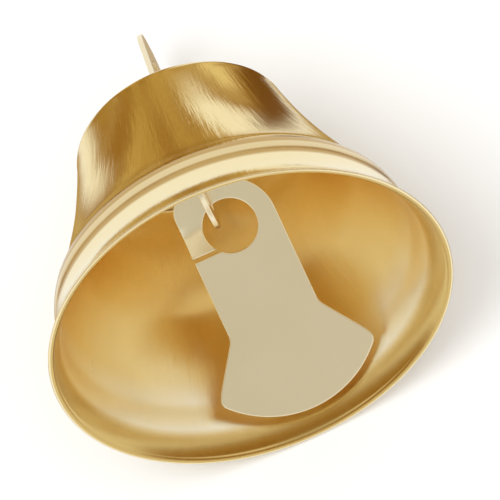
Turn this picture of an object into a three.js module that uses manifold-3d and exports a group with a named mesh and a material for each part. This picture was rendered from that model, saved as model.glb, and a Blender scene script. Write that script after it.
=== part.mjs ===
// Small hanging bell stamped from thin gold-plated sheet.
// Millimetres, +Z up, bell axis on Z, mouth plane at z = 0, crown slot along X.
// Three loose pieces: the drawn shell, a hanger plate that slides in the crown slot,
// and a clapper plate hooked into the ring at the lower end of the hanger.
import * as THREE from 'three';
import { mergeVertices } from 'three/addons/utils/BufferGeometryUtils.js';
import Module from 'manifold-3d';

// Shell
const SHEET = 0.4;
const RIM_R = 19;
const RIM_LAND = 0.45;
const LIP_TOP_R = 16.95;
const LIP_TOP_Z = 4.6;
const LIP_HOLLOW = 0.28;
const RING_TOP_R = 15.65;
const RING_TOP_Z = 7.9;
const RING_BULGE = 0.36;
const CONE_TOP_R = 10;
const CONE_HOLLOW = 0.5;
const CROWN_Z = 23.3;
const CROWN_EDGE = 0.9;

// Crown slot and the lips pushed up beside it
const SLOT_HALF_LENGTH = 6.25;
const SLOT_HALF_WIDTH = 1.15;
const SLOT_END_HALF_WIDTH = 0.6;
const LIP_RIDGE_HALF_LENGTH = 8.8;
const LIP_RIDGE_HALF_WIDTH = 2.5;
const LIP_RIDGE_HEIGHT = 0.45;

// Hanger plate, upright in the X-Z plane
const PLATE = 0.5;
const EAR_TOP = 12;
const EAR_TIP_R = 3.4;
const EAR_HOLE_R = 2.2;
const EAR_HOLE_BELOW_TIP = 5.4;
const EAR_SIDE_ANGLE = 14;
const NECK_HALF_WIDTH = 5.2;
const NECK_RISE = 0.6;
const SHOULDER_HALF_WIDTH = 7.4;
const SHOULDER_GAP = 0.3;
const SHOULDER_HEIGHT = 1.1;
const WAIST_OUT = 0.85;
const WAIST_RISE = 4.4;
const TAPER_OUT = 0.4;
const TAPER_RISE = 2.6;
const LINK_R = 4;
const LINK_HOLE_R = 2.3;
const LINK_Z = 16.4;

// Clapper plate, measured down its strip from the centre of its top ring, which hangs
// HOOK_DROP below and HOOK_SHIFT to the -Y side of the centre of the hanger's lower ring
const STRIP_HALF_WIDTH = 4.4;
const HOOK_HOLE_R = 2.5;
const HOOK_CORNER_R = 2;
const HOOK_CUT = 0.35;
const HOOK_CUT_Y = -1.5;
const HOOK_BEND_Y = 1.6;
const HOOK_SIDE_X = 1;
const HOOK_BEND = 12;
const FOOT_START = 9.6;
const FOOT_CORNER = 13.6;
const FOOT_HALF_WIDTH = 7.55;
const FOOT_END = 18.3;
const FOOT_ARC_R = 10;
const FOOT_CORNER_R = 0.9;
const FOOT_CORNER_INSET = 0.35;
const FOOT_CORNER_TURN = 36;
const HOOK_DROP = 4.1;
const HOOK_SHIFT = 1;
const CLAPPER_LEAN = 46.6;

// Facets: steps round the axis, along each stretch of the profile, and round plate edges
const TURN_STEPS = 72;
const LIP_STEPS = 6;
const RING_STEPS = 9;
const CONE_STEPS = 8;
const EDGE_STEPS = 5;
const RIDGE_STEPS = 14;
const RIDGE_TURN_STEPS = 28;
const SLOT_STEPS = 10;
const PLATE_STEPS = 36;

// Height of the cutting blocks, well over any plate they cut, and their reach past its side
const CUT_THROUGH = 4;
const CUT_PAST = 1;

// Points closer than this are one point
const WELD = 1e-4;

const wasm = await Module();
wasm.setup();

function solid(geometry) {
  const bare = geometry.index ? geometry.toNonIndexed() : geometry.clone();
  bare.deleteAttribute('normal');
  bare.deleteAttribute('uv');
  const merged = mergeVertices(bare, WELD);
  return new wasm.Manifold(new wasm.Mesh({
    numProp: 3,
    vertProperties: new Float32Array(merged.attributes.position.array),
    triVerts: new Uint32Array(merged.index.array),
  }));
}

function namedMesh(name, body, material) {
  const { numProp, vertProperties, triVerts } = body.getMesh();
  const position = new Float32Array((vertProperties.length / numProp) * 3);
  for (let i = 0; i < position.length / 3; i += 1) {
    position[3 * i] = vertProperties[numProp * i];
    position[3 * i + 1] = vertProperties[numProp * i + 1];
    position[3 * i + 2] = vertProperties[numProp * i + 2];
  }
  const geometry = new THREE.BufferGeometry();
  geometry.setAttribute('position', new THREE.BufferAttribute(position, 3));
  geometry.setIndex(Array.from(triVerts));
  geometry.computeVertexNormals();
  const mesh = new THREE.Mesh(geometry, material);
  mesh.name = name;
  return mesh;
}

// Point on the quadratic curve a-b-c.
function curvePoint(a, b, c, t) {
  const s = 1 - t;
  return new THREE.Vector2(
    s * s * a.x + 2 * s * t * b.x + t * t * c.x,
    s * s * a.y + 2 * s * t * b.y + t * t * c.y,
  );
}

// Curve from a to c whose middle stands `bulge` outward (away from the axis) of the chord.
function bowed(a, c, bulge, steps) {
  const along = c.clone().sub(a);
  const outward = new THREE.Vector2(along.y, -along.x).normalize();
  const middle = a.clone().add(c).multiplyScalar(0.5).addScaledVector(outward, 2 * bulge);
  const points = [];
  for (let i = 1; i <= steps; i += 1) {
    points.push(curvePoint(a, middle, c, i / steps));
  }
  return points;
}

// Outer skin of the shell from the rim up to the middle of the crown.
function outerSkin() {
  const rim = new THREE.Vector2(RIM_R, 0);
  const lipTop = new THREE.Vector2(LIP_TOP_R, LIP_TOP_Z);
  const ringTop = new THREE.Vector2(RING_TOP_R, RING_TOP_Z);
  const coneTop = new THREE.Vector2(CONE_TOP_R, CROWN_Z - CROWN_EDGE);
  const edge = [];
  for (let i = 1; i <= EDGE_STEPS; i += 1) {
    const a = (i / EDGE_STEPS) * (Math.PI / 2);
    edge.push(new THREE.Vector2(
      CONE_TOP_R - CROWN_EDGE + CROWN_EDGE * Math.cos(a),
      CROWN_Z - CROWN_EDGE + CROWN_EDGE * Math.sin(a),
    ));
  }
  return [
    rim,
    ...bowed(rim, lipTop, -LIP_HOLLOW, LIP_STEPS),
    ...bowed(lipTop, ringTop, RING_BULGE, RING_STEPS),
    ...bowed(ringTop, coneTop, -CONE_HOLLOW, CONE_STEPS),
    ...edge,
    new THREE.Vector2(0, CROWN_Z),
  ];
}

// The same skin moved in by the sheet thickness.
function innerSkin(outer) {
  return outer.map((point, i) => {
    if (i === 0) {
      return new THREE.Vector2(RIM_R - RIM_LAND, 0);
    }
    if (i === outer.length - 1) {
      return new THREE.Vector2(0, CROWN_Z - SHEET);
    }
    const before = point.clone().sub(outer[i - 1]).normalize();
    const after = outer[i + 1].clone().sub(point).normalize();
    const along = before.add(after).normalize();
    return new THREE.Vector2(point.x - along.y * SHEET, point.y + along.x * SHEET);
  });
}

function turnedShell() {
  const outer = outerSkin();
  const inner = innerSkin(outer);
  const profile = [...inner.slice().reverse(), ...outer];
  const geometry = new THREE.LatheGeometry(profile, TURN_STEPS);
  geometry.rotateX(Math.PI / 2);
  return solid(geometry);
}

// Long flat mound across the crown: the lips raised on both sides of the slot.
function slotLips() {
  const sagitta = LIP_RIDGE_HALF_WIDTH;
  const radius = (LIP_RIDGE_HALF_LENGTH ** 2 + sagitta ** 2) / (2 * sagitta);
  const reach = Math.asin(LIP_RIDGE_HALF_LENGTH / radius);
  const profile = [new THREE.Vector2(0, -LIP_RIDGE_HALF_LENGTH)];
  for (let i = 1; i < RIDGE_STEPS; i += 1) {
    const a = reach * ((2 * i) / RIDGE_STEPS - 1);
    profile.push(new THREE.Vector2(radius * Math.cos(a) - (radius - sagitta), radius * Math.sin(a)));
  }
  profile.push(new THREE.Vector2(0, LIP_RIDGE_HALF_LENGTH));
  const geometry = new THREE.LatheGeometry(profile, RIDGE_TURN_STEPS);
  geometry.rotateZ(Math.PI / 2);
  geometry.scale(1, 1, LIP_RIDGE_HEIGHT / LIP_RIDGE_HALF_WIDTH);
  geometry.translate(0, 0, CROWN_Z);
  return solid(geometry);
}

// Eye-shaped opening through the crown: two shallow arcs between blunt round ends.
function slotCutter() {
  const endX = SLOT_HALF_LENGTH - SLOT_END_HALF_WIDTH;
  const bow = 2 * SLOT_HALF_WIDTH - SLOT_END_HALF_WIDTH;
  const outline = new THREE.Shape();
  outline.moveTo(-endX, -SLOT_END_HALF_WIDTH);
  outline.quadraticCurveTo(0, -bow, endX, -SLOT_END_HALF_WIDTH);
  outline.absarc(endX, 0, SLOT_END_HALF_WIDTH, -Math.PI / 2, Math.PI / 2, false);
  outline.quadraticCurveTo(0, bow, -endX, SLOT_END_HALF_WIDTH);
  outline.absarc(-endX, 0, SLOT_END_HALF_WIDTH, Math.PI / 2, (3 * Math.PI) / 2, false);
  const geometry = new THREE.ExtrudeGeometry(outline, {
    depth: CUT_THROUGH,
    bevelEnabled: false,
    curveSegments: SLOT_STEPS,
  });
  geometry.translate(0, 0, CROWN_Z - CUT_THROUGH / 2);
  return solid(geometry);
}

function bellShell() {
  const body = turnedShell().add(slotLips()).subtract(slotCutter());
  const plating = new THREE.MeshStandardMaterial({ color: '#d9b163', roughness: 0.16, metalness: 1 });
  return namedMesh('bell_shell', body, plating);
}

// Flat plate of the sheet thickness, its middle plane at z = 0.
function plateOf(outline) {
  const geometry = new THREE.ExtrudeGeometry(outline, {
    depth: PLATE,
    bevelEnabled: false,
    curveSegments: PLATE_STEPS,
  });
  geometry.translate(0, 0, -PLATE / 2);
  return geometry;
}

// Hanger outline, x across and y up: ear over the crown, neck in the slot, shoulders under the
// crown, and the ring that carries the clapper.
function hangerOutline() {
  const tipZ = CROWN_Z + EAR_TOP - EAR_TIP_R;
  const side = THREE.MathUtils.degToRad(EAR_SIDE_ANGLE);
  const sideX = EAR_TIP_R * Math.cos(side);
  const sideZ = tipZ + EAR_TIP_R * Math.sin(side);
  const waistX = sideX + WAIST_OUT;
  const waistZ = CROWN_Z + WAIST_RISE;
  const neckZ = CROWN_Z + NECK_RISE;
  const stopZ = CROWN_Z - LIP_RIDGE_HEIGHT - SHOULDER_GAP;
  const underZ = stopZ - SHOULDER_HEIGHT;
  const taperX = LINK_R + TAPER_OUT;
  const taperZ = LINK_Z + TAPER_RISE;
  const outline = new THREE.Shape();
  outline.absarc(0, tipZ, EAR_TIP_R, side, Math.PI - side, false);
  outline.quadraticCurveTo(-waistX, waistZ, -NECK_HALF_WIDTH, neckZ);
  outline.lineTo(-NECK_HALF_WIDTH, stopZ);
  outline.lineTo(-SHOULDER_HALF_WIDTH, stopZ);
  outline.lineTo(-SHOULDER_HALF_WIDTH, underZ);
  outline.quadraticCurveTo(-taperX, taperZ, -LINK_R, LINK_Z);
  outline.absarc(0, LINK_Z, LINK_R, -Math.PI, 0, false);
  outline.quadraticCurveTo(taperX, taperZ, SHOULDER_HALF_WIDTH, underZ);
  outline.lineTo(SHOULDER_HALF_WIDTH, stopZ);
  outline.lineTo(NECK_HALF_WIDTH, stopZ);
  outline.lineTo(NECK_HALF_WIDTH, neckZ);
  outline.quadraticCurveTo(waistX, waistZ, sideX, sideZ);
  return outline;
}

function hanger() {
  const outline = hangerOutline();
  const holeZ = CROWN_Z + EAR_TOP - EAR_HOLE_BELOW_TIP;
  outline.holes.push(new THREE.Path().absarc(0, holeZ, EAR_HOLE_R, 0, 2 * Math.PI, false));
  outline.holes.push(new THREE.Path().absarc(0, LINK_Z, LINK_HOLE_R, 0, 2 * Math.PI, false));
  const geometry = plateOf(outline);
  geometry.rotateX(Math.PI / 2);
  const plating = new THREE.MeshStandardMaterial({ color: '#d3ba82', roughness: 0.25, metalness: 1 });
  return namedMesh('hanger', solid(geometry), plating);
}

// Clapper outline without its hole: x across the strip, y up, ring centre at the origin.
// Its top is round on the -X side and nearly square over the limb on the +X side.
function clapperOutline() {
  const arcY = -(FOOT_END - FOOT_ARC_R);
  const cornerTurn = THREE.MathUtils.degToRad(FOOT_CORNER_TURN);
  const reach = Math.acos((FOOT_HALF_WIDTH - FOOT_CORNER_R) / (FOOT_ARC_R - FOOT_CORNER_R));
  const cornerX = (FOOT_ARC_R - FOOT_CORNER_R) * Math.cos(reach);
  const cornerY = arcY - (FOOT_ARC_R - FOOT_CORNER_R) * Math.sin(reach);
  const outline = new THREE.Shape();
  const limbCorner = STRIP_HALF_WIDTH - HOOK_CORNER_R;
  outline.absarc(limbCorner, limbCorner, HOOK_CORNER_R, 0, Math.PI / 2, false);
  outline.absarc(0, 0, STRIP_HALF_WIDTH, Math.PI / 2, Math.PI, false);
  outline.lineTo(-STRIP_HALF_WIDTH, -FOOT_START);
  outline.lineTo(-FOOT_HALF_WIDTH + FOOT_CORNER_INSET, -FOOT_CORNER);
  outline.absarc(-cornerX, cornerY, FOOT_CORNER_R, Math.PI - cornerTurn, Math.PI + reach, false);
  outline.absarc(0, arcY, FOOT_ARC_R, Math.PI + reach, 2 * Math.PI - reach, false);
  outline.absarc(cornerX, cornerY, FOOT_CORNER_R, -reach, cornerTurn, false);
  outline.lineTo(FOOT_HALF_WIDTH - FOOT_CORNER_INSET, -FOOT_CORNER);
  outline.lineTo(STRIP_HALF_WIDTH, -FOOT_START);
  return outline;
}

function block(x0, x1, y0, y1) {
  const geometry = new THREE.BoxGeometry(x1 - x0, y1 - y0, CUT_THROUGH);
  geometry.translate((x0 + x1) / 2, (y0 + y1) / 2, 0);
  return solid(geometry);
}

// The limb beside the hole is cut free at its lower end and bent out of the plate: the hook.
function clapper() {
  const outline = clapperOutline();
  outline.holes.push(new THREE.Path().absarc(0, 0, HOOK_HOLE_R, 0, 2 * Math.PI, false));
  const plate = solid(plateOf(outline));
  const beyond = STRIP_HALF_WIDTH + CUT_PAST;
  const limb = plate.intersect(block(HOOK_SIDE_X, beyond, HOOK_CUT_Y, HOOK_BEND_Y));
  const rest = plate.subtract(block(HOOK_SIDE_X, beyond, HOOK_CUT_Y - HOOK_CUT, HOOK_BEND_Y));
  const raised = limb.translate([0, -HOOK_BEND_Y, 0]).rotate([HOOK_BEND, 0, 0]);
  const bent = raised.translate([0, HOOK_BEND_Y, 0]);
  const plating = new THREE.MeshStandardMaterial({ color: '#cbb98c', roughness: 0.3, metalness: 1 });
  const mesh = namedMesh('clapper', rest.add(bent), plating);
  mesh.position.set(0, -HOOK_SHIFT, -HOOK_DROP);
  mesh.rotation.set(Math.PI / 2, 0, Math.PI / 2, 'ZYX');
  return mesh;
}

// The clapper swings about the centre of the hanger's lower ring; at rest it leans on the +X wall.
function hungClapper() {
  const swing = new THREE.Group();
  swing.position.set(0, 0, LINK_Z);
  swing.rotation.y = -THREE.MathUtils.degToRad(CLAPPER_LEAN);
  swing.add(clapper());
  return swing;
}

const bell = new THREE.Group();
bell.name = 'hanging_bell';
bell.add(bellShell(), hanger(), hungClapper());

export default bell;
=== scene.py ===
# Looks for the small stamped hanging bell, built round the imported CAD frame. Metres, +Z up.
# The drawn shell, the hanger plate and the clapper plate are rebuilt at a finer scale, with
# rolled and sheared edges, and each rides on its own CAD body.
import math

import bmesh
import bpy
from mathutils import Matrix, Vector, geometry, noise


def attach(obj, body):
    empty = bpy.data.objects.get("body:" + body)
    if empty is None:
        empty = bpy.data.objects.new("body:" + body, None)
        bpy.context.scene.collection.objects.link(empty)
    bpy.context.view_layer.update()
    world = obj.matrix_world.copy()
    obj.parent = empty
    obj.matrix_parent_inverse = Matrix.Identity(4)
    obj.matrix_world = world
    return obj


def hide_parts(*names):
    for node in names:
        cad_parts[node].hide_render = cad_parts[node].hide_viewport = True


MM = 0.001

# Shell profile, millimetres
SHEET = 0.4
RIM_R = 19.0
RIM_LAND = 0.45
LIP_TOP = (16.95, 4.6)
LIP_HOLLOW = 0.28
RING_TOP = (15.65, 7.9)
RING_BULGE = 0.36
CONE_TOP_R = 10.0
CONE_HOLLOW = 0.5
CROWN_Z = 23.3
CROWN_EDGE = 0.9

# Crown slot and its raised lips
SLOT_HALF_LENGTH = 6.25
SLOT_HALF_WIDTH = 1.15
SLOT_END_HALF_WIDTH = 0.6
RIDGE_HALF_LENGTH = 8.8
RIDGE_HALF_WIDTH = 2.5
RIDGE_HEIGHT = 0.45

# Hanger plate
PLATE = 0.5
EAR_TOP = 12.0
EAR_TIP_R = 3.4
EAR_HOLE_R = 2.2
EAR_HOLE_BELOW_TIP = 5.4
EAR_SIDE_ANGLE = 14.0
NECK_HALF_WIDTH = 5.2
NECK_RISE = 0.6
SHOULDER_HALF_WIDTH = 7.4
SHOULDER_GAP = 0.3
SHOULDER_HEIGHT = 1.1
WAIST_OUT = 0.85
WAIST_RISE = 4.4
TAPER_OUT = 0.4
TAPER_RISE = 2.6
LINK_R = 4.0
LINK_HOLE_R = 2.3
LINK_Z = 16.4

# Clapper plate
STRIP_HALF_WIDTH = 4.4
HOOK_HOLE_R = 2.5
HOOK_CORNER_R = 2.0
HOOK_CUT = 0.35
HOOK_CUT_Y = -1.5
HOOK_BEND_Y = 1.6
HOOK_SIDE_X = 1.2
HOOK_BEND = 12.0
HOOK_EASE = 1.2
HOOK_CURL = 0.16
FOOT_START = 9.6
FOOT_CORNER = 13.6
FOOT_HALF_WIDTH = 7.55
FOOT_END = 18.3
FOOT_ARC_R = 10.0
FOOT_CORNER_R = 0.9
FOOT_CORNER_INSET = 0.35
FOOT_CORNER_TURN = 36.0
FOOT_ROOT_SOFT = 0.45
HOOK_DROP = 4.1
HOOK_SHIFT = 1.0
CLAPPER_LEAN = 46.6

# Plate meshes: rolled edge, flat strip kept inside it, spacing of inner and outline points
PLATE_EDGE = 0.09
PLATE_EDGE_ROWS = 5
FLAT_MARGIN = 0.05
GRID = 0.45
POINT_STEP = 0.12

# Shell mesh: steps round the axis, then the inside skin, smoother than the outside
TURN_STEPS = 360
DISC_STEPS = 26
SLOT_EDGE_STEPS = 7
INNER_SOFTENING = 500
INNER_CREASE_SOFTENING = 6
INNER_LIP_LEAN = 0.3
INNER_SOFT_BELOW = 13.0
INNER_START_Z = 0.2

# Rolled corners of the rim's cut edge, and how far they stay inside the rim radius
RIM_EDGE = 0.12
RIM_BACK = 0.02

# Slight unevenness of the sheet, above DENT_FROM_Z and outside DENT_FROM_R
DENT_SCALE = 0.11
DENT_COARSE = 0.045
DENT_FINE = 0.02
DENT_FROM_Z = 1.0
DENT_FULL_IN = 4.0
DENT_FROM_R = 9.5

# Tints painted on the shell's plating by height, standing for light and shade: painted shade in the
# creases, over the ring and deep inside, a painted highlight band and a painted darker reflection
# inside the lip. Millimetres: start, full, last full, gone
LOW_CREASE = (4.0, 4.5, 4.9, 5.3)
HIGH_CREASE = (5.6, 6.0, 6.5, 7.2)
RING_SHADE_Z = (4.1, 4.7, 8.0, 9.5)
RING_SHARE = 0.4
CREASE_SHARE = 0.85
LIP_HIGHLIGHT_Z = (1.9, 2.8, 5.0, 7.6)
RIM_REFLECTION_Z = (1.5, 2.7)
RIM_SHARE = 0.9
DEEP_SHADE_Z = (6.0, 17.0)
CROWN_SMOOTH = (21.6, 22.6)
INSIDE_TILT = 2.0
# Painted colours: shade in the creases, shade deep inside, a pale highlight band in the lip, a darker
# reflection at the rim
CREASE_PAINTED_SHADE = (0.50, 0.30, 0.08, 1)
DEEP_PAINTED_SHADE = (0.88, 0.70, 0.38, 1)
LIP_PAINTED_HIGHLIGHT = (0.98, 0.95, 0.87, 1)
RIM_PAINTED_REFLECTION = (0.66, 0.46, 0.15, 1)

# Colours of the surroundings
WHITE = (0.97, 0.97, 0.95, 1)
CREAM = (0.95, 0.90, 0.74, 1)
WARM_GREY = (0.62, 0.585, 0.50, 1)
PALE_GOLD = (0.80, 0.64, 0.30, 1)
GOLD = (0.50, 0.32, 0.075, 1)
AMBER = (0.32, 0.16, 0.022, 1)
BROWN = (0.17, 0.07, 0.010, 1)
DIFFUSE_LIGHT = (0.95, 0.95, 0.95, 1)
BACKDROP = (0.93, 0.93, 0.92, 1)

# Ring that stands for the neighbouring bells, seen only in mirror rays
NEIGHBOUR_INNER_R = 9.5
NEIGHBOUR_OUTER_R = 17.0
NEIGHBOUR_Z = 24.2
NEIGHBOUR_STEPS = 96

# Floors: a tilted one for the main camera, touching the rim at +X, and a level one, metres
TABLE_NORMAL = (-0.931, 0.0, -0.366)
TABLE_DROP = 0.0003
FLOOR_DROP = 0.00005
FLOOR_SIZE = 3.0

# Light, metres and watts
SOFTBOX_SIZE = 0.5
SOFTBOX_ENERGY = 2.0
SOFTBOX_BACK = 0.9
SOFTBOX_ASIDE = (0.0, 0.35, 0.3)
MAX_BOUNCES = 14
GLOSSY_BOUNCES = 12

# Camera
CAMERA_AZIMUTH = -85.0
CAMERA_ELEVATION = -40.2
CAMERA_ROLL = 21.3
CAMERA_DISTANCE = 1.42
CAMERA_LENS = 1130.0
CAMERA_CENTRE = (0.0, 0.0, 12.0)
CAMERA_SHIFT = (3.2, -2.4)

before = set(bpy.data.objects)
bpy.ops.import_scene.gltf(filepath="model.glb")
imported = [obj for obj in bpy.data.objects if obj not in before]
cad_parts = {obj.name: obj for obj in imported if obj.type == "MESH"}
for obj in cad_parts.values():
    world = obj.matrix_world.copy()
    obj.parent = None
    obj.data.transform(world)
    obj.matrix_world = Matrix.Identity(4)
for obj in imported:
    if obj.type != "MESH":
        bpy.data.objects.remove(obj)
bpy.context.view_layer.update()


# ---------------------------------------------------------------- profile helpers

def quad(a, b, c, t):
    s = 1 - t
    return (s * s * a[0] + 2 * s * t * b[0] + t * t * c[0],
            s * s * a[1] + 2 * s * t * b[1] + t * t * c[1])


def bowed(a, c, bulge, steps, lean=0.5):
    """Curve from a to c standing bulge outward of the chord; lean is where it turns most."""
    dx, dz = c[0] - a[0], c[1] - a[1]
    n = math.hypot(dx, dz)
    out = (dz / n, -dx / n)
    mid = (a[0] + dx * lean + 2 * bulge * out[0], a[1] + dz * lean + 2 * bulge * out[1])
    return [quad(a, mid, c, i / steps) for i in range(1, steps + 1)]


def outer_skin():
    rim = (RIM_R, 0.0)
    cone_top = (CONE_TOP_R, CROWN_Z - CROWN_EDGE)
    pts = [rim]
    pts += bowed(rim, LIP_TOP, -LIP_HOLLOW, 22)
    pts += bowed(LIP_TOP, RING_TOP, RING_BULGE, 28)
    pts += bowed(RING_TOP, cone_top, -CONE_HOLLOW, 34)
    for i in range(1, 11):
        a = (i / 10) * (math.pi / 2)
        pts.append((CONE_TOP_R - CROWN_EDGE + CROWN_EDGE * math.cos(a),
                    CROWN_Z - CROWN_EDGE + CROWN_EDGE * math.sin(a)))
    return pts


def soften(pts, passes):
    """Rounds the creases between the stretches of the profile a little, ends kept."""
    for _ in range(passes):
        pts = [pts[0]] + [
            ((pts[i - 1][0] + 2 * pts[i][0] + pts[i + 1][0]) / 4,
             (pts[i - 1][1] + 2 * pts[i][1] + pts[i + 1][1]) / 4)
            for i in range(1, len(pts) - 1)] + [pts[-1]]
    return pts


def offset_in(pts, d):
    """The profile moved towards the axis and down by d."""
    out = []
    for i, p in enumerate(pts):
        a = pts[max(i - 1, 0)]
        b = pts[min(i + 1, len(pts) - 1)]
        dx, dz = b[0] - a[0], b[1] - a[1]
        n = math.hypot(dx, dz)
        out.append((p[0] - dz / n * d, p[1] + dx / n * d))
    return out


# ---------------------------------------------------------------- shell

def slot_half_width(x):
    """Half width of the eye-shaped slot at x."""
    end_x = SLOT_HALF_LENGTH - SLOT_END_HALF_WIDTH
    ax = abs(x)
    if ax > end_x:
        return math.sqrt(max(SLOT_END_HALF_WIDTH ** 2 - (ax - end_x) ** 2, 0.0))
    t = ax / end_x
    return SLOT_HALF_WIDTH - (SLOT_HALF_WIDTH - SLOT_END_HALF_WIDTH) * t * t


def slot_point(a, grow=0.0):
    """Point on the slot's outline for the turn angle a, pushed outward by grow."""
    def raw(b):
        x = SLOT_HALF_LENGTH * math.cos(b)
        y = slot_half_width(x)
        return x, y if math.sin(b) >= 0 else -y
    x, y = raw(a)
    if grow == 0.0:
        return x, y
    x0, y0 = raw(a - 0.01)
    x1, y1 = raw(a + 0.01)
    tx, ty = x1 - x0, y1 - y0
    n = math.hypot(tx, ty) or 1.0
    return x + ty / n * grow, y - tx / n * grow


def ridge(x, y):
    """Height of the lips raised beside the slot."""
    r = (RIDGE_HALF_LENGTH ** 2 + RIDGE_HALF_WIDTH ** 2) / (2 * RIDGE_HALF_WIDTH)
    if abs(x) >= RIDGE_HALF_LENGTH:
        return 0.0
    w = math.sqrt(r * r - x * x) - (r - RIDGE_HALF_WIDTH)
    u = abs(y) / max(w, 1e-6)
    if u >= 1:
        return 0.0
    return RIDGE_HEIGHT * (w / RIDGE_HALF_WIDTH) ** 0.5 * (1 - u ** 1.6)


def dent(x, y, z):
    """Slight unevenness of thin drawn sheet, in millimetres, away from the edges."""
    p = Vector((x, y, z)) * DENT_SCALE
    return DENT_COARSE * noise.noise(p) + DENT_FINE * noise.noise(p * 2.7 + Vector((5, 2, 8)))


def shell_mesh():
    outer = soften(outer_skin(), 2)
    inner = offset_in(outer, SHEET)
    low = [p for p in inner if p[1] < INNER_SOFT_BELOW]
    lip = [p for p in low if p[1] < LIP_TOP[1]]
    wall = soften(low[len(lip):], INNER_SOFTENING)
    rim = (RIM_R - RIM_LAND, 0.0)
    lip = bowed(rim, wall[0], -LIP_HOLLOW, len(lip), INNER_LIP_LEAN)[:-1]
    inner = lip + wall + inner[len(low):]
    inner = soften(inner, INNER_CREASE_SOFTENING)
    inner = [p for p in inner if p[1] > INNER_START_Z]
    rows = []

    def turned(p):
        def f(a):
            return p[0] * math.cos(a), p[0] * math.sin(a), p[1]
        return f

    # inner skin, crown edge to rim
    for p in reversed(inner):
        rows.append(turned(p))
    # rolled corners of the rim's cut edge
    for i in range(0, 5):
        t = i / 4 * math.pi / 2
        rows.append(turned((rim[0] + RIM_EDGE * (1 - math.cos(t)) - RIM_BACK,
                            RIM_EDGE * (1 - math.sin(t)))))
    for i in range(1, 6):
        t = i / 5 * math.pi / 2
        rows.append(turned((RIM_R - RIM_EDGE + RIM_EDGE * math.sin(t) - RIM_BACK,
                            RIM_EDGE * (1 - math.cos(t)))))
    for p in outer[1:]:
        rows.append(turned(p))

    flat_r = CONE_TOP_R - CROWN_EDGE

    def disc(t, drop):
        def f(a):
            sx, sy = slot_point(a, SHEET / 2)
            cx, cy = flat_r * math.cos(a), flat_r * math.sin(a)
            x = sx + (cx - sx) * t
            y = sy + (cy - sy) * t
            return x, y, CROWN_Z + ridge(x, y) - drop
        return f

    for i in range(1, DISC_STEPS + 1):
        rows.append(disc(1 - (i / DISC_STEPS) ** 0.9, 0.0))
    # rolled edge of the slot
    for i in range(1, SLOT_EDGE_STEPS):
        t = i / SLOT_EDGE_STEPS * math.pi

        def lip(a, t=t):
            grow = SHEET / 2 * (1 - math.sin(t))
            x, y = slot_point(a, grow)
            bx, by = slot_point(a, SHEET / 2)
            return x, y, CROWN_Z + ridge(bx, by) - SHEET / 2 + SHEET / 2 * math.cos(t)
        rows.append(lip)
    for i in range(DISC_STEPS, -1, -1):
        rows.append(disc(1 - (i / DISC_STEPS) ** 0.9, SHEET))

    n = TURN_STEPS
    verts = []
    for f in rows:
        for j in range(n):
            x, y, z = f(2 * math.pi * j / n)
            r = math.hypot(x, y)
            if z > DENT_FROM_Z and r > DENT_FROM_R:
                d = dent(x, y, z) * min(1.0, (z - DENT_FROM_Z) / DENT_FULL_IN)
                x += d * x / r
                y += d * y / r
            verts.append((x * MM, y * MM, z * MM))
    m = len(rows)
    faces = []
    for i in range(m):
        k = (i + 1) % m
        for j in range(n):
            j2 = (j + 1) % n
            faces.append((i * n + j, i * n + j2, k * n + j2, k * n + j))
    return make_mesh("bell_body", verts, faces)


def make_mesh(name, verts, faces):
    me = bpy.data.meshes.new(name)
    me.from_pydata(verts, [], faces)
    bm = bmesh.new()
    bm.from_mesh(me)
    bmesh.ops.recalc_face_normals(bm, faces=bm.faces)
    bm.to_mesh(me)
    bm.free()
    for p in me.polygons:
        p.use_smooth = True
    ob = bpy.data.objects.new(name, me)
    bpy.context.scene.collection.objects.link(ob)
    return ob


# ---------------------------------------------------------------- plates

def arc(cx, cy, r, a0, a1, step=POINT_STEP):
    """Points on an arc, radians, both ends included."""
    n = max(2, int(abs(a1 - a0) * r / step))
    return [(cx + r * math.cos(a0 + (a1 - a0) * i / n), cy + r * math.sin(a0 + (a1 - a0) * i / n))
            for i in range(n + 1)]


def line(a, b, step=POINT_STEP):
    n = max(1, int(math.hypot(b[0] - a[0], b[1] - a[1]) / step))
    return [(a[0] + (b[0] - a[0]) * i / n, a[1] + (b[1] - a[1]) * i / n) for i in range(n + 1)]


def quad_line(a, b, c, step=POINT_STEP):
    n = max(4, int(math.hypot(c[0] - a[0], c[1] - a[1]) / step))
    return [quad(a, b, c, i / n) for i in range(n + 1)]


def joined(*runs):
    """One closed loop from runs of points, doubled points dropped."""
    loop = []
    for run in runs:
        for p in run:
            if not loop or math.hypot(p[0] - loop[-1][0], p[1] - loop[-1][1]) > 1e-4:
                loop.append(p)
    if math.hypot(loop[0][0] - loop[-1][0], loop[0][1] - loop[-1][1]) < 1e-4:
        loop.pop()
    return loop


def signed_area(loop):
    return sum(loop[i - 1][0] * loop[i][1] - loop[i][0] * loop[i - 1][1]
               for i in range(len(loop))) / 2


def inset(loop, d):
    """The loop moved towards the material by d; the material is on the loop's left."""
    out = []
    n = len(loop)
    for i, p in enumerate(loop):
        a, b = loop[i - 1], loop[(i + 1) % n]
        ux, uy = p[0] - a[0], p[1] - a[1]
        vx, vy = b[0] - p[0], b[1] - p[1]
        un, vn = math.hypot(ux, uy), math.hypot(vx, vy)
        nx = -uy / un - vy / vn
        ny = ux / un + vx / vn
        k = math.hypot(nx, ny) or 1.0
        out.append((p[0] + nx / k * d, p[1] + ny / k * d))
    return out


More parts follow.
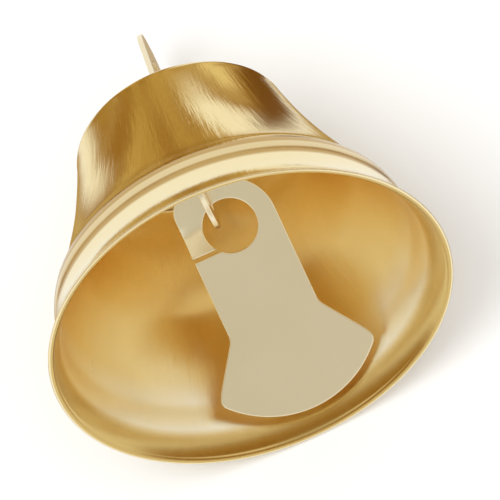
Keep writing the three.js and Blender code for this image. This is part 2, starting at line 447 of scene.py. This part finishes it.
def plate_mesh(name, outer, holes, place):
    """Closed plate with rolled edges. place maps (x, y, z), z through the plate, to the row frame."""
    loops = [outer if signed_area(outer) > 0 else outer[::-1]]
    loops += [h if signed_area(h) < 0 else h[::-1] for h in holes]
    turn = [i / (PLATE_EDGE_ROWS - 1) * math.pi / 2 for i in range(PLATE_EDGE_ROWS)]
    half = PLATE / 2
    edge = PLATE_EDGE
    section = [(edge * (1 - math.sin(t)), half - edge + edge * math.cos(t)) for t in turn]
    section = [(edge + FLAT_MARGIN, half)] + section
    section += [(d, -z) for d, z in reversed(section)]
    verts, faces = [], []
    flat_loops = []
    for loop in loops:
        n = len(loop)
        base = len(verts)
        for d, z in section:
            for x, y in inset(loop, d):
                verts.append((x, y, z))
        for i in range(len(section) - 1):
            for j in range(n):
                j2 = (j + 1) % n
                faces.append((base + i * n + j, base + i * n + j2,
                              base + (i + 1) * n + j2, base + (i + 1) * n + j))
        flat_loops.append((base, n))

    # triangulate the flat with a grid of inner points
    pts, index, edges = [], [], []
    for base, n in flat_loops:
        start = len(pts)
        for j in range(n):
            pts.append(Vector(verts[base + j][:2]))
            index.append(base + j)
        edges += [(start + j, start + (j + 1) % n) for j in range(n)]
    flat = [[verts[base + j][:2] for j in range(n)] for base, n in flat_loops]
    rim = [Vector(p) for p in pts]
    xs = [p.x for p in rim]
    ys = [p.y for p in rim]
    inner_points = []
    row = 0
    y = min(ys) + GRID / 2
    while y < max(ys):
        x = min(xs) + (GRID / 2 if row % 2 else GRID)
        while x < max(xs):
            inner_points.append((x, y))
            x += GRID
        y += GRID * 0.87
        row += 1
    kept = []
    for x, y in inner_points:
        if not inside(x, y, loops):
            continue
        if min((p.x - x) ** 2 + (p.y - y) ** 2 for p in rim) < (GRID * 0.45) ** 2:
            continue
        kept.append((x, y))
    first_inner = len(pts)
    pts += [Vector(p) for p in kept]
    got = geometry.delaunay_2d_cdt(pts, edges, [], 0, 1e-6)
    out_verts, _, out_faces, orig, _, _ = got
    top = {}
    low = {}
    shift = {base: (len(section) - 1) * n for base, n in flat_loops}
    owner = []
    for base, n in flat_loops:
        owner += [base] * n
    for k, co in enumerate(out_verts):
        src = orig[k][0] if orig[k] else None
        if src is not None and src < first_inner:
            top[k] = index[src]
            low[k] = index[src] + shift[owner[src]]
        else:
            top[k] = len(verts)
            verts.append((co.x, co.y, half))
            low[k] = len(verts)
            verts.append((co.x, co.y, -half))
    for f in out_faces:
        cx = sum(out_verts[k].x for k in f) / len(f)
        cy = sum(out_verts[k].y for k in f) / len(f)
        if inside(cx, cy, flat):
            faces.append(tuple(top[k] for k in f))
            faces.append(tuple(low[k] for k in reversed(f)))
    placed = [place(*v) for v in verts]
    return make_mesh(name, [(x * MM, y * MM, z * MM) for x, y, z in placed], faces)


def inside(x, y, loops):
    """True where the point is in the material: an odd number of loops round it."""
    odd = False
    for loop in loops:
        n = len(loop)
        for i in range(n):
            x0, y0 = loop[i - 1]
            x1, y1 = loop[i]
            if (y0 > y) != (y1 > y) and x < (x1 - x0) * (y - y0) / (y1 - y0) + x0:
                odd = not odd
    return odd


def hanger_plate():
    tip_z = CROWN_Z + EAR_TOP - EAR_TIP_R
    side = math.radians(EAR_SIDE_ANGLE)
    side_x = EAR_TIP_R * math.cos(side)
    side_z = tip_z + EAR_TIP_R * math.sin(side)
    waist_x, waist_z = side_x + WAIST_OUT, CROWN_Z + WAIST_RISE
    neck_z = CROWN_Z + NECK_RISE
    stop_z = CROWN_Z - RIDGE_HEIGHT - SHOULDER_GAP
    under_z = stop_z - SHOULDER_HEIGHT
    taper_x, taper_z = LINK_R + TAPER_OUT, LINK_Z + TAPER_RISE
    outer = joined(
        arc(0, tip_z, EAR_TIP_R, side, math.pi - side),
        quad_line((-side_x, side_z), (-waist_x, waist_z), (-NECK_HALF_WIDTH, neck_z)),
        line((-NECK_HALF_WIDTH, neck_z), (-NECK_HALF_WIDTH, stop_z)),
        line((-NECK_HALF_WIDTH, stop_z), (-SHOULDER_HALF_WIDTH, stop_z)),
        line((-SHOULDER_HALF_WIDTH, stop_z), (-SHOULDER_HALF_WIDTH, under_z)),
        quad_line((-SHOULDER_HALF_WIDTH, under_z), (-taper_x, taper_z), (-LINK_R, LINK_Z)),
        arc(0, LINK_Z, LINK_R, -math.pi, 0),
        quad_line((LINK_R, LINK_Z), (taper_x, taper_z), (SHOULDER_HALF_WIDTH, under_z)),
        line((SHOULDER_HALF_WIDTH, under_z), (SHOULDER_HALF_WIDTH, stop_z)),
        line((SHOULDER_HALF_WIDTH, stop_z), (NECK_HALF_WIDTH, stop_z)),
        line((NECK_HALF_WIDTH, stop_z), (NECK_HALF_WIDTH, neck_z)),
        quad_line((NECK_HALF_WIDTH, neck_z), (waist_x, waist_z), (side_x, side_z)),
    )
    ear_z = CROWN_Z + EAR_TOP - EAR_HOLE_BELOW_TIP
    holes = [
        joined(arc(0, ear_z, EAR_HOLE_R, 0, 2 * math.pi)),
        joined(arc(0, LINK_Z, LINK_HOLE_R, 0, 2 * math.pi)),
    ]

    def place(x, y, z):
        return x, -z, y
    return plate_mesh("hanger_plate", outer, holes, place)


def clapper_plate():
    arc_y = -(FOOT_END - FOOT_ARC_R)
    turn = math.radians(FOOT_CORNER_TURN)
    reach = math.acos((FOOT_HALF_WIDTH - FOOT_CORNER_R) / (FOOT_ARC_R - FOOT_CORNER_R))
    corner_x = (FOOT_ARC_R - FOOT_CORNER_R) * math.cos(reach)
    corner_y = arc_y - (FOOT_ARC_R - FOOT_CORNER_R) * math.sin(reach)
    low = HOOK_CUT_Y - HOOK_CUT
    from_low = math.asin(low / HOOK_HOLE_R)
    to_high = math.asin(HOOK_CUT_Y / HOOK_HOLE_R)
    side = STRIP_HALF_WIDTH
    corner = STRIP_HALF_WIDTH - HOOK_CORNER_R
    soft = FOOT_ROOT_SOFT
    slope = Vector((FOOT_HALF_WIDTH - FOOT_CORNER_INSET - side, FOOT_START - FOOT_CORNER)).normalized()
    slope_x, slope_y = side + slope.x * soft, -FOOT_START + slope.y * soft
    outer = joined(
        line((side, -FOOT_START + soft), (side, low)),
        # in along the cut, the long way round the hole, and out along the other side of the cut
        line((side, low), (HOOK_HOLE_R * math.cos(from_low), low)),
        arc(0, 0, HOOK_HOLE_R, from_low, to_high - 2 * math.pi),
        line((HOOK_HOLE_R * math.cos(to_high), HOOK_CUT_Y), (side, HOOK_CUT_Y)),
        line((side, HOOK_CUT_Y), (side, corner)),
        arc(corner, corner, HOOK_CORNER_R, 0, math.pi / 2),
        line((corner, side), (0, side)),
        arc(0, 0, STRIP_HALF_WIDTH, math.pi / 2, math.pi),
        line((-side, 0), (-side, -FOOT_START + soft)),
        quad_line((-side, -FOOT_START + soft), (-side, -FOOT_START), (-slope_x, slope_y)),
        line((-slope_x, slope_y), (-FOOT_HALF_WIDTH + FOOT_CORNER_INSET, -FOOT_CORNER)),
        arc(-corner_x, corner_y, FOOT_CORNER_R, math.pi - turn, math.pi + reach),
        arc(0, arc_y, FOOT_ARC_R, math.pi + reach, 2 * math.pi - reach),
        arc(corner_x, corner_y, FOOT_CORNER_R, -reach, turn),
        line((FOOT_HALF_WIDTH - FOOT_CORNER_INSET, -FOOT_CORNER), (slope_x, slope_y)),
        quad_line((slope_x, slope_y), (side, -FOOT_START), (side, -FOOT_START + soft)),
    )
    lean = math.radians(CLAPPER_LEAN)
    bend = math.radians(HOOK_BEND)

    def place(x, y, z):
        if x > HOOK_SIDE_X and HOOK_CUT_Y - HOOK_CUT / 2 < y < HOOK_BEND_Y:
            # the limb leans out of the plate below the bend, its outer side curled back
            run = HOOK_BEND_Y - y
            turned = min(run / HOOK_EASE, 1.0)
            a = bend * turned
            length = run - HOOK_EASE / 2 if run > HOOK_EASE else run * run / (2 * HOOK_EASE)
            across = (x - HOOK_HOLE_R) / (side - HOOK_HOLE_R)
            y = y - z * math.sin(a) + length * (1 - math.cos(a))
            z = z * math.cos(a) - length * math.sin(a) + HOOK_CURL * turned * across * across
        # into the hanging place: across to +Y, up to +Z, through to +X
        px, py, pz = z, x - HOOK_SHIFT, y - HOOK_DROP
        qx = px * math.cos(lean) - pz * math.sin(lean)
        qz = px * math.sin(lean) + pz * math.cos(lean)
        return qx, py, qz + LINK_Z
    return plate_mesh("clapper_plate", outer, [], place)


# ---------------------------------------------------------------- node helpers

class Nodes:
    """A thin wrapper that adds nodes and links to one node tree."""

    def __init__(self, tree):
        self.tree = tree
        self.tree.nodes.clear()

    def add(self, kind, **values):
        node = self.tree.nodes.new(kind)
        for k, v in values.items():
            setattr(node, k, v)
        return node

    def link(self, a, b):
        self.tree.links.new(a, b)

    def put(self, socket, value):
        if isinstance(value, bpy.types.NodeSocket):
            self.link(value, socket)
        else:
            socket.default_value = value

    def math(self, op, a, b=0.0):
        n = self.add("ShaderNodeMath", operation=op)
        self.put(n.inputs[0], a)
        self.put(n.inputs[1], b)
        return n.outputs[0]

    def dot(self, a, b):
        n = self.add("ShaderNodeVectorMath", operation="DOT_PRODUCT")
        self.put(n.inputs[0], a)
        self.put(n.inputs[1], b)
        return n.outputs["Value"]

    def ramp(self, value, lo, hi, to_lo=0.0, to_hi=1.0):
        n = self.add("ShaderNodeMapRange", interpolation_type="SMOOTHSTEP")
        self.put(n.inputs["Value"], value)
        n.inputs["From Min"].default_value = lo
        n.inputs["From Max"].default_value = hi
        n.inputs["To Min"].default_value = to_lo
        n.inputs["To Max"].default_value = to_hi
        return n.outputs["Result"]

    def mix(self, factor, a, b):
        n = self.add("ShaderNodeMix", data_type="RGBA")
        self.put(n.inputs[0], factor)
        self.put(n.inputs[6], a)
        self.put(n.inputs[7], b)
        return n.outputs[2]

    def noise(self, vector, scale, detail=2.0, rough=0.5):
        n = self.add("ShaderNodeTexNoise")
        self.put(n.inputs["Vector"], vector)
        n.inputs["Scale"].default_value = scale
        n.inputs["Detail"].default_value = detail
        n.inputs["Roughness"].default_value = rough
        return n.outputs["Fac"]

    def combine(self, x, y, z):
        n = self.add("ShaderNodeCombineXYZ")
        self.put(n.inputs[0], x)
        self.put(n.inputs[1], y)
        self.put(n.inputs[2], z)
        return n.outputs[0]

    def split(self, vector):
        n = self.add("ShaderNodeSeparateXYZ")
        self.put(n.inputs[0], vector)
        return n.outputs


def times(g, *factors):
    f = factors[0]
    for other in factors[1:]:
        f = g.math("MULTIPLY", f, other)
    return f


def band(g, value, a, b, c, e):
    """1 between b and c, falling to 0 at a and at e."""
    return times(g, g.ramp(value, a, b), g.ramp(value, c, e, 1.0, 0.0))


def heights(values):
    return [v * MM for v in values]


# ---------------------------------------------------------------- materials

def plating(name, colour, tint, rough, streak, speckle, inner_rough=None):
    """Thin bright plating. streak: strength of the drawing marks; speckle: fine pitting.

    inner_rough is given for the shell only, whose inside is rougher and carries painted shade, a
    painted highlight band and a painted darker reflection by height; its outer creases get painted
    shade too.
    """
    mat = bpy.data.materials.new(name)
    mat.use_nodes = True
    g = Nodes(mat.node_tree)
    out = g.add("ShaderNodeOutputMaterial")
    bsdf = g.add("ShaderNodeBsdfPrincipled")
    bsdf.inputs["Metallic"].default_value = 1.0
    coord = g.add("ShaderNodeTexCoord").outputs["Object"]
    x, y, z = g.split(coord)
    turn = g.math("ARCTAN2", y, x)
    around = g.combine(g.math("COSINE", turn), g.math("SINE", turn), g.math("MULTIPLY", z, 9.0))
    marks = g.noise(around, 26.0, 4.0, 0.62)
    clouds = g.noise(coord, 70.0, 3.0, 0.5)
    grain = g.noise(coord, 5200.0, 2.0, 0.6)
    base = g.mix(g.ramp(clouds, 0.3, 0.7), colour, tint)
    rough_value = g.math("ADD", rough, g.math("MULTIPLY", g.math("SUBTRACT", clouds, 0.5), 0.08))
    # the marks fade out on the flat crown
    off_crown = g.ramp(z, *heights(CROWN_SMOOTH), 1.0, 0.0)
    rough_value = g.math("ADD", rough_value,
                         times(g, off_crown, g.math("SUBTRACT", marks, 0.5), 0.10 * streak))
    bump1 = g.add("ShaderNodeBump")
    bump1.inputs["Strength"].default_value = 0.25 * streak
    if inner_rough is not None:
        # the inside: walls that face the axis, and the underside of the crown
        normal = g.add("ShaderNodeTexCoord").outputs["Normal"]
        facing = g.dot(normal, g.combine(x, y, INSIDE_TILT * MM))
        inner = g.math("LESS_THAN", facing, 0.0)
        # tints that stand for mirrored surroundings, painted shade on the outside: the ring and its
        # two creases darker
        low_crease = band(g, z, *heights(LOW_CREASE))
        high_crease = band(g, z, *heights(HIGH_CREASE))
        ring = times(g, band(g, z, *heights(RING_SHADE_Z)), RING_SHARE)
        creases = g.math("MAXIMUM", ring, g.math("ADD", low_crease, high_crease))
        creases = times(g, creases, g.math("SUBTRACT", 1.0, inner))
        base = g.mix(g.math("MULTIPLY", creases, CREASE_SHARE), base, CREASE_PAINTED_SHADE)
        # inside, painted shade: warmer, deeper gold towards the crown
        base = g.mix(times(g, inner, g.ramp(z, *heights(DEEP_SHADE_Z))), base, DEEP_PAINTED_SHADE)
        # inside, a painted highlight: a pale band in the lip
        base = g.mix(times(g, inner, band(g, z, *heights(LIP_HIGHLIGHT_Z))), base, LIP_PAINTED_HIGHLIGHT)
        # inside, a painted darker reflection: gold down to the rim
        rim = g.ramp(z, *heights(RIM_REFLECTION_Z), RIM_SHARE, 0.0)
        base = g.mix(times(g, inner, rim), base, RIM_PAINTED_REFLECTION)
        rough_value = g.math("ADD", rough_value, g.math("MULTIPLY", inner, inner_rough - rough))
        fade = times(g, off_crown, g.math("SUBTRACT", 1.0, times(g, inner, 0.68)))
        g.put(bump1.inputs["Strength"], times(g, fade, 0.25 * streak))
    g.put(bsdf.inputs["Base Color"], base)
    g.put(bsdf.inputs["Roughness"], rough_value)
    bump1.inputs["Distance"].default_value = 0.00012
    g.put(bump1.inputs["Height"], marks)
    bump2 = g.add("ShaderNodeBump")
    bump2.inputs["Strength"].default_value = 0.35 * speckle
    bump2.inputs["Distance"].default_value = 0.00002
    g.put(bump2.inputs["Height"], grain)
    g.link(bump1.outputs[0], bump2.inputs["Normal"])
    g.link(bump2.outputs[0], bsdf.inputs["Normal"])
    g.link(bsdf.outputs[0], out.inputs[0])
    return mat


# ---------------------------------------------------------------- stage

def unit(v):
    return Vector(v).normalized()


def camera_back():
    a, e = math.radians(CAMERA_AZIMUTH), math.radians(CAMERA_ELEVATION)
    return Vector((math.sin(a) * math.cos(e), -math.cos(a) * math.cos(e), math.sin(e)))


def build_camera():
    back = camera_back()
    up_z = (Vector((0, 0, 1)) - back * back.z).normalized()
    side = up_z.cross(back)
    roll = math.radians(CAMERA_ROLL)
    up = up_z * math.cos(roll) + side * math.sin(roll)
    right = side * math.cos(roll) - up_z * math.sin(roll)
    data = bpy.data.cameras.new("camera")
    data.lens = CAMERA_LENS
    data.sensor_width = 36
    data.clip_start = 0.01
    data.clip_end = 50
    cam = bpy.data.objects.new("camera", data)
    bpy.context.scene.collection.objects.link(cam)
    m = Matrix((right, up, back)).transposed().to_4x4()
    centre = Vector(CAMERA_CENTRE) * MM + (right * CAMERA_SHIFT[0] + up * CAMERA_SHIFT[1]) * MM
    m.translation = centre + back * CAMERA_DISTANCE
    cam.matrix_world = m
    bpy.context.scene.camera = cam


def neighbour_tones(g, d):
    """Colours the bell mirrors from the bells round it, by direction d."""
    x, y, z = g.split(d)
    # walls of other bells, drawn out into streaks across Y
    drawn = g.combine(times(g, y, 5.5), times(g, x, 0.7), times(g, z, 0.7))
    upper = g.mix(g.ramp(g.noise(drawn, 1.0, 2.0, 0.55), 0.40, 0.60), GOLD, AMBER)
    fine = g.combine(times(g, y, 15.0), times(g, x, 1.1), times(g, z, 1.1))
    upper = g.mix(g.ramp(g.noise(fine, 1.0, 2.0, 0.5), 0.52, 0.72, 0.0, 0.40), upper, PALE_GOLD)
    # the bright and dark patches between them, across Y and along X
    glow = times(g, band(g, y, 0.26, 0.36, 0.50, 0.62), band(g, x, 0.15, 0.4, 0.75, 0.9))
    upper = g.mix(glow, upper, CREAM)
    upper = g.mix(g.ramp(y, 0.62, 0.85), upper, PALE_GOLD)
    panel = times(g, band(g, y, -0.33, -0.27, -0.17, -0.11), g.ramp(x, -0.35, 0.0))
    upper = g.mix(panel, upper, CREAM)
    glint = times(g, band(g, y, -0.52, -0.47, -0.42, -0.37), band(g, x, -0.3, -0.1, 0.1, 0.25))
    upper = g.mix(glint, upper, PALE_GOLD)
    shade = times(g, band(g, y, -0.60, -0.44, -0.26, -0.18), g.ramp(x, 0.22, 0.36))
    upper = g.mix(shade, upper, BROWN)
    return g.mix(g.ramp(y, -0.60, -0.80), upper, AMBER)


def build_world():
    """Light by direction: pale below the mouth plane, the gold of neighbouring bells above it."""
    world = bpy.data.worlds.new("studio")
    bpy.context.scene.world = world
    world.use_nodes = True
    g = Nodes(world.node_tree)
    out = g.add("ShaderNodeOutputWorld")
    d = g.add("ShaderNodeTexCoord").outputs["Generated"]
    x, y, z = g.split(d)

    def patch(base, direction, inner, outer, colour, strength=1.0):
        near = g.dot(d, tuple(unit(direction)))
        edge, full = math.cos(math.radians(outer)), math.cos(math.radians(inner))
        return g.mix(g.ramp(near, edge, full, 0.0, strength), base, colour)

    upper = g.mix(g.ramp(z, 0.62, 0.76), neighbour_tones(g, d), WHITE)

    # below: the open white of the studio
    lower = WHITE
    ahead = g.ramp(x, 0.15, -0.25)
    lower = g.mix(times(g, band(g, z, -0.72, -0.60, -0.24, -0.19), ahead), lower, GOLD)
    lower = g.mix(times(g, band(g, z, -0.60, -0.52, -0.40, -0.34), ahead), lower, AMBER)
    lower = g.mix(times(g, band(g, z, -0.26, -0.235, -0.215, -0.19), ahead), lower, BROWN)
    lower = patch(lower, (0.28, 0.0, -0.96), 8, 22, GOLD, 0.4)
    lower = patch(lower, (-0.65, 0.06, -0.75), 11, 19, WARM_GREY)
    path = g.add("ShaderNodeLightPath")
    # light that has already bounced inside the bell finds the pale studio
    again = g.math("GREATER_THAN", path.outputs["Ray Depth"], 2.5)
    lower = g.mix(g.math("MULTIPLY", again, 0.85), lower, WHITE)
    sky = g.mix(g.ramp(z, -0.02, 0.08), lower, upper)
    colour = g.mix(path.outputs["Is Diffuse Ray"], sky, DIFFUSE_LIGHT)
    colour = g.mix(path.outputs["Is Camera Ray"], colour, BACKDROP)
    bg = g.add("ShaderNodeBackground")
    g.put(bg.inputs["Color"], colour)
    bg.inputs["Strength"].default_value = 1.0
    g.link(bg.outputs[0], out.inputs[0])


def plane(name, centre, normal, size, material):
    n = unit(normal)
    x = Vector((0, 1, 0))
    if abs(n.dot(x)) > 0.9:
        x = Vector((1, 0, 0))
    u = (x - n * n.dot(x)).normalized()
    v = n.cross(u)
    c = Vector(centre)
    pts = [c + (u * a + v * b) * size for a, b in ((-1, -1), (1, -1), (1, 1), (-1, 1))]
    me = bpy.data.meshes.new(name)
    me.from_pydata([tuple(p) for p in pts], [], [(0, 1, 2, 3)])
    me.materials.append(material)
    ob = bpy.data.objects.new(name, me)
    bpy.context.scene.collection.objects.link(ob)


def floor_material(name, seen_from, lo, hi):
    """Pale matt floor, seen only by the camera and only from the side it belongs to."""
    mat = bpy.data.materials.new(name)
    mat.use_nodes = True
    g = Nodes(mat.node_tree)
    out = g.add("ShaderNodeOutputMaterial")
    diffuse = g.add("ShaderNodeBsdfDiffuse")
    coord = g.add("ShaderNodeTexCoord").outputs["Object"]
    tone = g.ramp(g.noise(coord, 9.0, 3.0, 0.5), 0.3, 0.7)
    g.put(diffuse.inputs["Color"],
          g.mix(tone, (0.955, 0.953, 0.945, 1), (0.975, 0.973, 0.967, 1)))
    clear = g.add("ShaderNodeBsdfTransparent")
    incoming = g.add("ShaderNodeNewGeometry").outputs["Incoming"]
    near = g.ramp(g.dot(incoming, tuple(unit(seen_from))), lo, hi)
    path = g.add("ShaderNodeLightPath")
    shown = g.math("MULTIPLY", near, path.outputs["Is Camera Ray"])
    both = g.add("ShaderNodeMixShader")
    g.put(both.inputs[0], shown)
    g.link(clear.outputs[0], both.inputs[1])
    g.link(diffuse.outputs[0], both.inputs[2])
    g.link(both.outputs[0], out.inputs[0])
    return mat


def neighbour_ring():
    """Flat ring level with the crown, seen only in mirror rays off the cone."""
    mat = bpy.data.materials.new("neighbour_gold")
    mat.use_nodes = True
    g = Nodes(mat.node_tree)
    out = g.add("ShaderNodeOutputMaterial")
    incoming = g.add("ShaderNodeNewGeometry").outputs["Incoming"]
    turned = g.add("ShaderNodeVectorMath", operation="SCALE")
    g.put(turned.inputs[0], incoming)
    turned.inputs["Scale"].default_value = -1.0
    glow = g.add("ShaderNodeEmission")
    g.put(glow.inputs["Color"], neighbour_tones(g, turned.outputs[0]))
    g.link(glow.outputs[0], out.inputs[0])
    n = NEIGHBOUR_STEPS
    verts = []
    for r in (NEIGHBOUR_INNER_R, NEIGHBOUR_OUTER_R):
        for i in range(n):
            a = 2 * math.pi * i / n
            verts.append((r * math.cos(a) * MM, r * math.sin(a) * MM, NEIGHBOUR_Z * MM))
    faces = [(i, (i + 1) % n, n + (i + 1) % n, n + i) for i in range(n)]
    me = bpy.data.meshes.new("neighbours")
    me.from_pydata(verts, [], faces)
    me.materials.append(mat)
    ob = bpy.data.objects.new("neighbours", me)
    bpy.context.scene.collection.objects.link(ob)
    ob.visible_camera = False
    ob.visible_diffuse = False
    ob.visible_shadow = False
    ob.visible_transmission = False


def build_stage():
    neighbour_ring()
    table = floor_material("table_paper", camera_back(), 0.90, 0.95)
    touch = Vector((RIM_R, 0, 0)) * MM - unit(TABLE_NORMAL) * TABLE_DROP
    plane("table", touch, TABLE_NORMAL, FLOOR_SIZE, table)
    ground = floor_material("floor_paper", (0, 0, 1), 0.0, 0.01)
    plane("floor", (0, 0, -FLOOR_DROP), (0, 0, 1), FLOOR_SIZE, ground)
    light = bpy.data.lights.new("softbox", "AREA")
    light.shape = "DISK"
    light.size = SOFTBOX_SIZE
    light.energy = SOFTBOX_ENERGY
    ob = bpy.data.objects.new("softbox", light)
    bpy.context.scene.collection.objects.link(ob)
    spot = camera_back() * SOFTBOX_BACK + Vector(SOFTBOX_ASIDE)
    ob.location = spot
    ob.rotation_mode = "QUATERNION"
    ob.rotation_quaternion = spot.to_track_quat("Z", "Y")
    ob.visible_glossy = False


# ---------------------------------------------------------------- build

body = shell_mesh()
# the shell's plating also carries painted shade, a painted highlight and a painted reflection
body.data.materials.append(plating(
    "shell_plating", (0.94, 0.80, 0.49, 1), (0.95, 0.83, 0.54, 1), 0.13, 1.0, 0.4, 0.24))
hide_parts("bell_shell")
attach(body, "shell")

ear = hanger_plate()
ear.data.materials.append(plating(
    "hanger_plating", (0.91, 0.80, 0.57, 1), (0.93, 0.83, 0.61, 1), 0.22, 0.0, 1.0))
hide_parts("hanger")
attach(ear, "hanger")

tongue = clapper_plate()
tongue.data.materials.append(plating(
    "clapper_plating", (0.88, 0.79, 0.57, 1), (0.90, 0.81, 0.60, 1), 0.26, 0.0, 1.0))
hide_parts("clapper")
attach(tongue, "clapper")

build_world()
build_stage()
build_camera()

scene = bpy.context.scene
scene.view_settings.view_transform = "Standard"
scene.view_settings.look = "None"
scene.cycles.max_bounces = MAX_BOUNCES
scene.cycles.glossy_bounces = GLOSSY_BOUNCES
